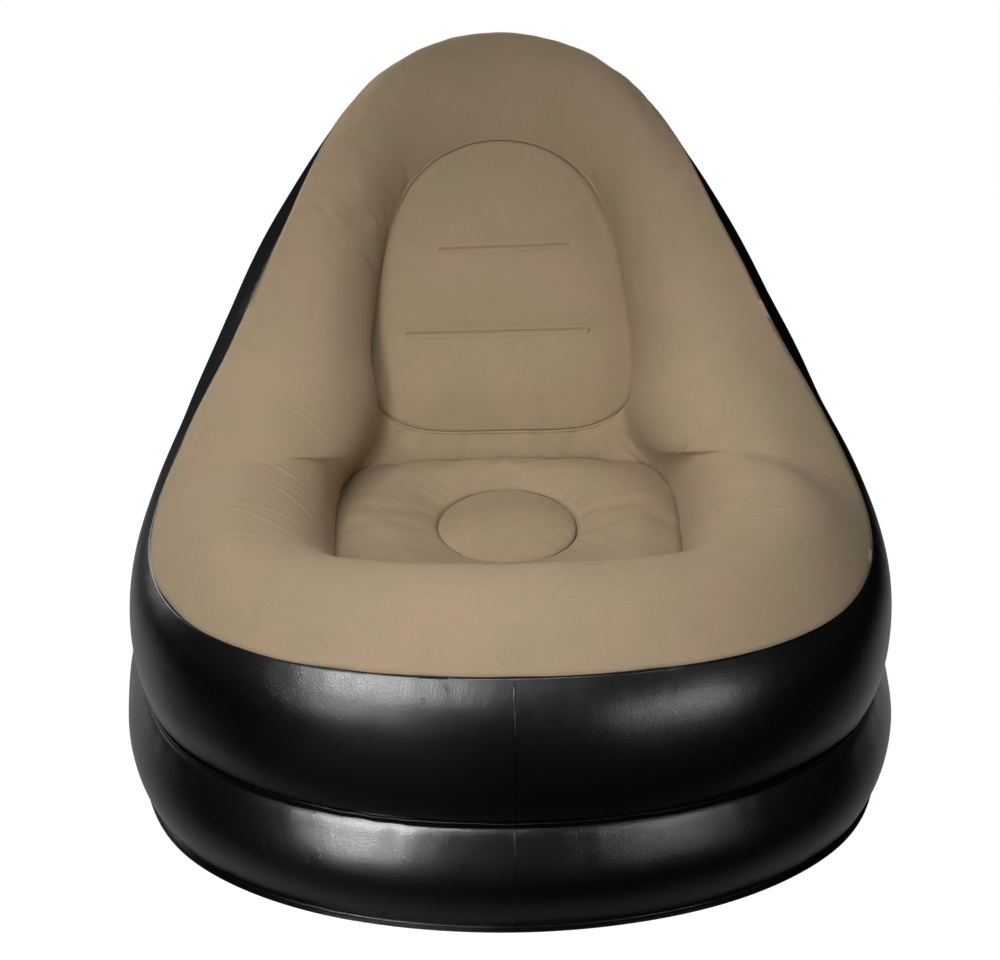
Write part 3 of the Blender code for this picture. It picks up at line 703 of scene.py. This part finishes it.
# %% Folds of the bolster
tree = surface(bolster)
fold_lines = [pixel_line(tree, pixels) for pixels, _, _ in FOLDS]
refine(bolster, fold_lines + [seat_seam, back_seam], 0.010)
refine(bolster, fold_lines + [seat_seam, back_seam], 0.0055)
tree = surface(bolster)
fold_lines = [pixel_line(tree, pixels) for pixels, _, _ in FOLDS]
places, normals = read(bolster)
for line, (_, height, width) in zip(fold_lines, FOLDS):
    fold(places, normals, line, height, width)
roll(places, normals, seat_seam, 0.003, 0.012)
pucker(places, normals, seat_seam, 0.014, 0.0007, 0.020, 7)
pucker(places, normals, dense(root), 0.016, 0.0008, 0.016, 8)
bead(places, normals, back_seam, 0.0015, 0.0012, 0.0024)
ease(places, normals, 0.08, 0.0012, 9)
wave_lip(places, tip, dense(across), SEAM_SEED)
write(bolster, places)
thicken(bolster, FLOCK)


# %% [markdown]
# ## The seat panel
# The seat is a pillow tied down along its outline and round a disc in its middle, so it puffs up
# into a soft ring between the two welds. Its cage has one row on each weld and one on the puff
# between them, and a small grid closes the disc.

# %% The seat
SEAT_CROWN = 0.034
DISC_RADIUS = 0.090
DISC_Y = -0.074
DISC_SINK = 0.010
DISC_CROWN = 0.018


def disc_loop(radius, height):
    turn = np.arange(len(seat_loop())) * 2 * np.pi / len(seat_loop()) - np.pi / 2
    across, along = radius * np.cos(turn), DISC_Y + radius * np.sin(turn)
    return through(np.stack((across, along, 0 * turn + height), axis=1))


loop = seat_loop()
seat_root = loop + (STRIP / 2 + GAP) * inward(loop, UP)
disc = disc_loop(DISC_RADIUS, SEAT_HEIGHT - DISC_SINK)
puff = (seat_root + disc) / 2 + SEAT_CROWN * UP
bm = bmesh.new()
made = add_grid(bm, [seat_root - FIN * UP, seat_root, puff, disc], wrap=True)
crease(bm, made[1])
crease(bm, made[3])
crown = SEAT_HEIGHT - DISC_SINK + DISC_CROWN
reach = DISC_RADIUS * (1 - 1 / COLUMNS)
middle = [(reach * (2 * i / COLUMNS - 1), DISC_Y, crown) for i in range(1, COLUMNS)]
disc_verts = made[3]
half = COLUMNS // 2
add_grid(bm, [disc_verts[-half:] + disc_verts[:half + 1],
              [disc_verts[-half - 1]] + middle + [disc_verts[half + 1]],
              disc_verts[SEAT_CORNER:SEAT_CORNER + COLUMNS + 1][::-1]], wrap=False)
seat = skin("seat_pillow", bm, 3)

# %% Air and puckers of the seat
root_line = dense(seat_root)
disc_line = dense(disc)
swell(seat, [root_line, dense(seat_root - FIN * UP), disc_line], 0.003)
round_off(seat, 1)
refine(seat, [root_line, disc_line], 0.012)
refine(seat, [root_line, disc_line], 0.0035)
places, normals = read(seat)
roll(places, normals, root_line, 0.004, 0.010)
roll(places, normals, disc_line, 0.003, 0.008)
bead(places, normals, disc_line, -0.0018, 0.0016)
pucker(places, normals, root_line, 0.012, 0.0006, 0.014, 10)
pucker(places, normals, disc_line, 0.012, 0.0004, 0.012, 11)
ease(places, normals, 0.07, 0.0015, 12)
write(seat, places)
thicken(seat, FLOCK)


# %% [markdown]
# ## The back panel
# The back panel is nearly flat. Two short level welds draw it in, the upper one shorter. Each is
# a narrow groove with a soft ridge on both sides, and a small blob ends the lower one. They are
# only a few millimetres wide, so they are pressed into a much finer mesh along their lines.

# %% The back
BACK_CROWN = 0.017
WELD_LIFT = 0.007
WELD_SHARES = {2: 0.69, 4: 0.49}


def back_row(left, right, row):
    left, right = np.array(left), np.array(right)
    span = WELD_SHARES.get(row, 1 - 2 / COLUMNS)
    lift = WELD_LIFT if row in WELD_SHARES else BACK_CROWN
    points = []
    for i in range(1, COLUMNS):
        share = span * (2 * i - COLUMNS) / (COLUMNS - 2)
        points.append((left + right) / 2 + share * (right - left) / 2 + lift * BACK_NORMAL)
    return points


loop = back_loop()
back_root = loop + GAP * inward(loop, BACK_NORMAL)
bm = bmesh.new()
made = add_grid(bm, [back_root - FIN * BACK_NORMAL, back_root], wrap=True)
crease(bm, made[1])
edge_verts = made[1]
sides = len(BACK_SHARES) - 1 - COLUMNS // 2
right = edge_verts[COLUMNS - 1:COLUMNS + sides]
top = edge_verts[COLUMNS - 1 + sides:2 * COLUMNS + sides][::-1]
left = [edge_verts[(-1 - i) % len(edge_verts)] for i in range(sides + 1)]
rows = [[left[0]] + edge_verts[:COLUMNS - 1] + [right[0]]]
for j in range(1, sides):
    rows.append([left[j]] + back_row(left[j].co, right[j].co, j) + [right[j]])
rows.append(top)
add_grid(bm, rows, wrap=False)
back = skin("back_pillow", bm, 3)

# %% Air and weld lines of the back
WELD_LINES = (
    [(408, 334.7), (450, 334), (520, 332.2), (585, 330)],
    [(441, 250.5), (480, 249), (525, 247.5), (567, 245.5)],
)
WELD_DOT = [(587, 329), (588, 329)]
tree = surface(back)
weld_lines = [pixel_line(tree, pixels) for pixels in WELD_LINES]
root_line = dense(back_root)
swell(back, [root_line, dense(back_root - FIN * BACK_NORMAL)] + weld_lines, 0.002)
round_off(back, 1)
refine(back, weld_lines + [root_line], 0.009)
refine(back, [root_line], 0.004)
refine(back, weld_lines, 0.0075)
refine(back, weld_lines, 0.0055)
tree = surface(back)
weld_lines = [pixel_line(tree, pixels) for pixels in WELD_LINES]
places, normals = read(back)
roll(places, normals, root_line, 0.0022, 0.005)
for line in weld_lines:
    bead(places, normals, line, -0.0014, 0.0060)
    bead(places, normals, line, -0.0024, 0.0016)
    bead(places, normals, line, 0.0010, 0.0015, 0.0042)
    pucker(places, normals, line, 0.011, 0.0003, 0.007, 13)
dot = pixel_line(tree, WELD_DOT)
bead(places, normals, dot, 0.0034, 0.0022)
pucker(places, normals, root_line, 0.016, 0.0004, 0.010, 14)
ease(places, normals, 0.08, 0.0009, 15)
write(back, places)
thicken(back, FLOCK)


# %% [markdown]
# ## The flat sheets
# The floor sheet and the sheet between the chambers are flat, and only their welded edges show.
# A fan of faces inside the outline is enough for them.

# %% Flat sheets
SHEET_PARTS = 16


def flat_sheet(name, outline, bottom):
    line = dense(outline, SHEET_PARTS)
    bm = bmesh.new()
    middle = bm.verts.new((0, 0, bottom))
    verts = [bm.verts.new((x, y, bottom)) for x, y, _ in line]
    for a, b in zip(verts, verts[1:] + verts[:1]):
        bm.faces.new((middle, a, b))
    mesh = bpy.data.meshes.new(name)
    bm.to_mesh(mesh)
    area = sum(face.calc_area() for face in bm.faces)
    bm.free()
    piece = bpy.data.objects.new(name, mesh)
    bpy.context.scene.collection.objects.link(piece)
    thicken(piece, VINYL, 1)
    return piece, area


floor_sheet, floor_area = flat_sheet("floor_sheet", base_line(), 0)
crease_edge = crease_line() + LIP * outward(crease_line())
crease_sheet, crease_area = flat_sheet("crease_sheet", crease_edge, RING_HEIGHT - VINYL / 2)
places, _ = read(crease_sheet)
wave_lip(places, crease_edge, upward, CREASE_SEED)
write(crease_sheet, places)
print("the floor sheet's area is", round(floor_area, 3), "m2")


# %% [markdown]
# ## Finishes
# A finish is a small network of nodes. One class wraps a socket, so that shader maths reads as
# ordinary sums, and another holds a material and adds its nodes.

# %% Shader helpers
class Wire:
    """One value or colour inside a material; sums and products of wires add Math nodes."""

    def __init__(self, finish, socket):
        self.finish = finish
        self.socket = socket

    def __add__(self, other):
        return self.finish.math("ADD", self, other)

    def __sub__(self, other):
        return self.finish.math("SUBTRACT", self, other)

    def __rsub__(self, other):
        return self.finish.math("SUBTRACT", other, self)

    def __mul__(self, other):
        return self.finish.math("MULTIPLY", self, other)

    __radd__ = __add__
    __rmul__ = __mul__


class Finish:
    """A material with its main shader and the nodes that feed it."""

    def __init__(self, name, **constants):
        self.material = bpy.data.materials.new(name)
        self.material.use_nodes = True
        self.tree = self.material.node_tree
        self.shader = self.tree.nodes["Principled BSDF"]
        for key, value in constants.items():
            self.shader.inputs[key.replace("_", " ")].default_value = value
        self.place = self.add("ShaderNodeTexCoord", {}, {}, "Object")

    def add(self, kind, settings, values, output=0):
        node = self.tree.nodes.new(kind)
        for key, value in settings.items():
            setattr(node, key, value)
        for key, value in values.items():
            self.feed(node.inputs[key], value)
        return Wire(self, node.outputs[output])

    def feed(self, socket, value):
        if isinstance(value, Wire):
            self.tree.links.new(value.socket, socket)
        else:
            socket.default_value = value

    def math(self, operation, left, right):
        return self.add("ShaderNodeMath", {"operation": operation}, {0: left, 1: right})

    def stretched(self, scale):
        """The object's own coordinates, stretched unevenly."""
        return self.add("ShaderNodeMapping", {}, {"Vector": self.place, "Scale": scale})

    def noise(self, scale, detail=2, rough=0.5, place=None):
        values = {"Vector": place or self.place, "Scale": scale, "Detail": detail,
                  "Roughness": rough}
        return self.add("ShaderNodeTexNoise", {}, values, "Fac")

    def steps(self, value, low, high):
        """0 below low, 1 above high and a smooth rise between."""
        settings = {"interpolation_type": "SMOOTHSTEP"}
        values = {"Value": value, "From Min": low, "From Max": high}
        return self.add("ShaderNodeMapRange", settings, values, "Result")

    def mix(self, share, first, second, blend="MIX"):
        settings = {"data_type": "RGBA", "blend_type": blend}
        return self.add("ShaderNodeMix", settings, {0: share, 6: first, 7: second}, 2)

    def bump(self, height, distance, strength=1, under=None):
        values = {"Height": height, "Distance": distance, "Strength": strength}
        if under:
            values["Normal"] = under
        return self.add("ShaderNodeBump", {}, values, "Normal")

    def send(self, name, value):
        self.feed(self.shader.inputs[name], value)


# %% [markdown]
# ## Flock
# Flock is a coat of very short fibres. It shines nowhere, turns paler at a glancing view and
# shows soft clouds where a hand has brushed the pile one way or the other. Its backing creases
# in fine lines across the arms, and a pale spot on the blob of the back panel is a painted glint.

# %% The flock
TAN_RED = (0.400, 0.292, 0.197, 1)
TAN_OLIVE = (0.364, 0.291, 0.184, 1)
TAN_DEEP = (0.300, 0.226, 0.146, 1)
# Pale colour of the painted glint on the back panel's blob
GLINT_PAINT = (0.80, 0.72, 0.58, 1)
GLINT_SPOT = 0.0030


def flock_finish():
    flock = Finish("tan_flock", Roughness=0.95, Sheen_Weight=0.12, Sheen_Roughness=0.5,
                   Specular_IOR_Level=0.1)
    flock.shader.inputs["Sheen Tint"].default_value = (1, 0.90, 0.76, 1)
    clouds = flock.steps(flock.noise(11, 3, 0.55), 0.38, 0.64)
    pile = flock.noise(1300, 2)
    nap = flock.noise(360, 3, 0.6)
    brushed = flock.noise(34, 4, 0.65)
    colour = flock.mix(clouds, TAN_RED, TAN_OLIVE)
    colour = flock.mix(flock.steps(brushed, 0.48, 0.78) * 0.22, colour, TAN_DEEP)
    colour = flock.mix(flock.steps(nap, 0.40, 0.72) * 0.26, colour, TAN_DEEP)
    colour = flock.mix(flock.steps(pile, 0.40, 0.80) * 0.30, colour, TAN_DEEP)
    away = flock.add("ShaderNodeVectorMath", {"operation": "DISTANCE"},
                     {0: flock.place, 1: tuple(dot.mean(axis=0))}, "Value")
    # A painted glint: a pale spot painted round the blob on the back panel, standing in for light
    # caught there
    painted_glint = 1 - flock.steps(away, GLINT_SPOT / 2, GLINT_SPOT)
    flock.send("Base Color", flock.mix(painted_glint, colour, GLINT_PAINT))
    lines = flock.noise(1, 3, 0.6, flock.stretched((22, 250, 150)))
    where = flock.steps(flock.noise(9, 2), 0.42, 0.60)
    creases = flock.bump(lines * where, 0.0016, 0.45)
    flock.send("Normal", flock.bump(pile * 0.5 + nap * 0.5, 0.0006, 0.45, creases))
    return flock.material


# %% [markdown]
# ## Vinyl
# The vinyl is nearly black and lives from its highlights. An embossed leather grain of about a
# millimetre breaks them up, and slow waves of the sheet bend their edges.

# %% The vinyl
BLACK = (0.0016, 0.0016, 0.0014, 1)
BLACK_WORN = (0.0030, 0.0030, 0.0026, 1)


def vinyl_finish(name, roughness, grain):
    vinyl = Finish(name, Specular_IOR_Level=1.0)
    values = {"Vector": vinyl.place, "Scale": 720}
    cells = vinyl.add("ShaderNodeTexVoronoi", {}, values, "Distance")
    fine = vinyl.noise(1200, 2, 0.6)
    waves = vinyl.noise(38, 2)
    vinyl.send("Base Color", vinyl.mix(vinyl.steps(fine, 0.45, 0.75), BLACK, BLACK_WORN))
    vinyl.send("Roughness", roughness + 0.08 * vinyl.noise(60, 3))
    soft = vinyl.bump(waves, 0.004, 0.08)
    vinyl.send("Normal", vinyl.bump(cells * 0.7 + fine * 0.3, 0.0008, grain, soft))
    return vinyl.material


def plain_finish(name, colour, roughness):
    """An even plastic with a fine speckle, for the small pieces."""
    plain = Finish(name)
    speckle = plain.noise(400, 3)
    shade = tuple(0.7 * part for part in colour[:3]) + (1,)
    plain.send("Base Color", plain.mix(speckle * 0.4, colour, shade))
    plain.send("Roughness", roughness + 0.08 * speckle)
    plain.send("Normal", plain.bump(speckle, 0.0003, 0.3))
    return plain.material


FLOCK_FINISH = flock_finish()
VINYL_FINISH = vinyl_finish("black_vinyl", 0.25, 0.28)
WELD_FINISH = vinyl_finish("smooth_weld", 0.22, 0.05)
STRIP_FINISH = plain_finish("tie_strip", (0.03, 0.03, 0.03, 1), 0.5)
VALVE_FINISH = plain_finish("valve_plastic", (0.012, 0.012, 0.012, 1), 0.36)
FLAP_FINISH = plain_finish("flap_film", (0.42, 0.42, 0.40, 1), 0.45)


# %% [markdown]
# ## Which piece stands for which node
# Each fine piece rides on the chair's body and stands for the plain solid of the same name, which
# is hidden but kept, for collision.

# %% Dress the pieces
def dress(piece, nodes, finish):
    piece.data.materials.clear()
    piece.data.materials.append(finish)
    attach(piece, "chair")
    if nodes:
        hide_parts(*nodes)


dress(bolster, ["bolster_cover"], FLOCK_FINISH)
dress(seat, ["seat_panel"], FLOCK_FINISH)
dress(back, ["back_panel"], FLOCK_FINISH)
dress(upper_wall, ["upper_band"], VINYL_FINISH)
dress(lower_wall, ["lower_band"], VINYL_FINISH)
dress(floor_sheet, ["base_sheet"], VINYL_FINISH)
dress(crease_sheet, ["mid_sheet"], VINYL_FINISH)
dress(lower_bead, [], WELD_FINISH)
dress(upper_bead, [], WELD_FINISH)

# %% Finishes of the inner and small pieces
NODE_FINISHES = {"seam_tape": STRIP_FINISH, "_band": STRIP_FINISH, "strap": STRIP_FINISH,
                 "beam": STRIP_FINISH, "flap": FLAP_FINISH, "valve": VALVE_FINISH}
for name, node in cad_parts.items():
    for key, finish in NODE_FINISHES.items():
        if key in name:
            node.data.materials.clear()
            node.data.materials.append(finish)
            break

# %% [markdown]
# ## Floor and light
# The room is white and plain. Black vinyl mirrors all of it, so for mirrored rays the room is kept
# dark, apart from a white card on the floor under the chair, which draws the pale sheen on its
# lower sides. Two small soft boxes in front on the left make the two strong highlights, and one on
# the right answers them. Two above the seat light the tan cover from the front, and two large
# ones behind light the arms and the rim of the back.

# %% The floor
FLOOR_SIZE = 24
FLOOR_GLOW = 1.22
GLOW_SHARE = 0.80
MIRRORED_FLOOR = 0.36
CARD_STRETCH = (0.62, 1, 1)
CARD_MIDDLE = (-0.05, 0.14, 0)
CARD_INNER = 0.45
CARD_OUTER = 0.80


def stage_finish():
    stage = Finish("studio_floor")
    nodes, links = stage.tree.nodes, stage.tree.links
    path = nodes.new("ShaderNodeLightPath")
    direct, through_glass, mirrored = [
        Wire(stage, path.outputs[name])
        for name in ("Is Camera Ray", "Is Transmission Ray", "Is Glossy Ray")]
    seen = direct + through_glass
    away = stage.add("ShaderNodeVectorMath", {"operation": "DISTANCE"},
                     {0: stage.stretched(CARD_STRETCH), 1: CARD_MIDDLE}, "Value")
    card = 1 - stage.steps(away, CARD_INNER, CARD_OUTER)
    diffuse = nodes.new("ShaderNodeBsdfDiffuse")
    diffuse.inputs["Color"].default_value = (0.9, 0.9, 0.9, 1)
    glow = nodes.new("ShaderNodeEmission")
    stage.feed(glow.inputs["Strength"], FLOOR_GLOW * seen + MIRRORED_FLOOR * mirrored * card)
    blend = nodes.new("ShaderNodeMixShader")
    stage.feed(blend.inputs[0], GLOW_SHARE * seen + mirrored)
    links.new(diffuse.outputs[0], blend.inputs[1])
    links.new(glow.outputs[0], blend.inputs[2])
    links.new(blend.outputs[0], nodes["Material Output"].inputs["Surface"])
    return stage.material


bpy.ops.mesh.primitive_plane_add(size=FLOOR_SIZE, location=(0, 0, 0))
floor = bpy.context.object
floor.name = "studio_floor_plane"
floor.data.materials.append(stage_finish())

# %% The world
AMBIENT = 0.11
MIRRORED_WORLD = 0.02
world = bpy.data.worlds.new("studio")
bpy.context.scene.world = world
world.use_nodes = True
nodes, links = world.node_tree.nodes, world.node_tree.links
path = nodes.new("ShaderNodeLightPath")
seen = nodes.new("ShaderNodeMath")
seen.operation = "MAXIMUM"
links.new(path.outputs["Is Camera Ray"], seen.inputs[0])
links.new(path.outputs["Is Transmission Ray"], seen.inputs[1])
unseen = nodes.new("ShaderNodeMapRange")
unseen.inputs["To Min"].default_value = AMBIENT
unseen.inputs["To Max"].default_value = MIRRORED_WORLD
links.new(path.outputs["Is Glossy Ray"], unseen.inputs["Value"])
level = nodes.new("ShaderNodeMapRange")
level.inputs["To Max"].default_value = 1
links.new(seen.outputs[0], level.inputs["Value"])
links.new(unseen.outputs["Result"], level.inputs["To Min"])
links.new(level.outputs["Result"], nodes["Background"].inputs["Strength"])
nodes["Background"].inputs["Color"].default_value = (1, 1, 1, 1)
bpy.context.scene.view_settings.view_transform = "Standard"


# %% Soft boxes
def soft_box(name, place, aim, size, watts, spread=180):
    """A soft box at a place, turned to light another; a small spread narrows its beam."""
    data = bpy.data.lights.new(name, "AREA")
    data.shape = "RECTANGLE"
    data.size, data.size_y = size
    data.energy = watts
    data.spread = math.radians(spread)
    lamp = bpy.data.objects.new(name, data)
    lamp.location = place
    lamp.rotation_euler = (Vector(aim) - Vector(place)).to_track_quat("-Z", "Y").to_euler()
    bpy.context.scene.collection.objects.link(lamp)
    return lamp


soft_box("left_front_box", (-0.56, -1.48, 1.10), (-0.10, -0.30, 0.32), (0.18, 0.26), 9.2)
soft_box("low_left_box", (-0.62, -1.30, 0.42), (-0.17, -0.53, 0.08), (0.16, 0.28), 0.19, 24)
soft_box("right_front_box", (0.74, -1.50, 0.50), (0.15, -0.40, 0.25), (0.20, 0.36), 2)
soft_box("seat_box", (-0.15, -0.85, 1.35), (0, -0.22, 0.30), (0.50, 0.40), 0.65, 60)
soft_box("top_box", (-0.40, -0.50, 1.62), (0.02, -0.02, 0.38), (0.45, 0.40), 0.55, 50)
soft_box("left_rear_box", (-1.60, 0.50, 0.80), (0, -0.10, 0.30), (0.60, 0.80), 8.5)
soft_box("behind_box", (0.10, 1.20, 1.60), (0, -0.10, 0.30), (1.20, 0.80), 7.5)
